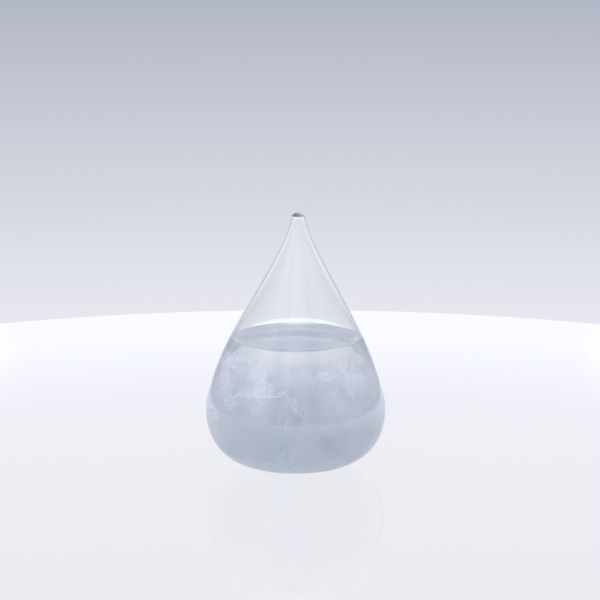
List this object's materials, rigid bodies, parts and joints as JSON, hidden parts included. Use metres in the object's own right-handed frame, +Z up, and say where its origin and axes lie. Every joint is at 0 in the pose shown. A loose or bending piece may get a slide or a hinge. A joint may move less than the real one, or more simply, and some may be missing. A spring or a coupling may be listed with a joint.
{
  "type": "storm glass",
  "caption": "Sealed blown-glass drop standing on a small flat base, part filled with a clear spirit solution in which feathery crystals have settled and grown as a weather indicator.",
  "frame": {"origin": "centre of the flat base that the drop stands on", "axes": "+Z up through the drop to its sealed tip, -Y towards the viewer, +X to the viewer's right, which is the side the drawn neck leans to"},
  "size_m": [0.08, 0.08, 0.113],
  "materials": {
    "blown_glass": "clear borosilicate, fire polished, faint waviness from blowing",
    "seal_glass": "melted bead, smoky grey, fire polished",
    "spirit_solution": "clear spirit and water solution, faint cool tint",
    "settled_crystals": "packed fine white translucent crystals, matt",
    "feather_crystals": "feathery white translucent crystals, matt with fine glints"
  },
  "bodies": {
    "root": {"glass_drop": "blown_glass", "tip_seal": "seal_glass", "solution": "spirit_solution", "crystal_bed": "settled_crystals", "crystal_plume_left": "feather_crystals", "crystal_plume_right": "feather_crystals", "crystal_plume_front": "feather_crystals", "crystal_plume_back": "feather_crystals", "crystal_plume_centre": "feather_crystals"}
  },
  "joints": []
}
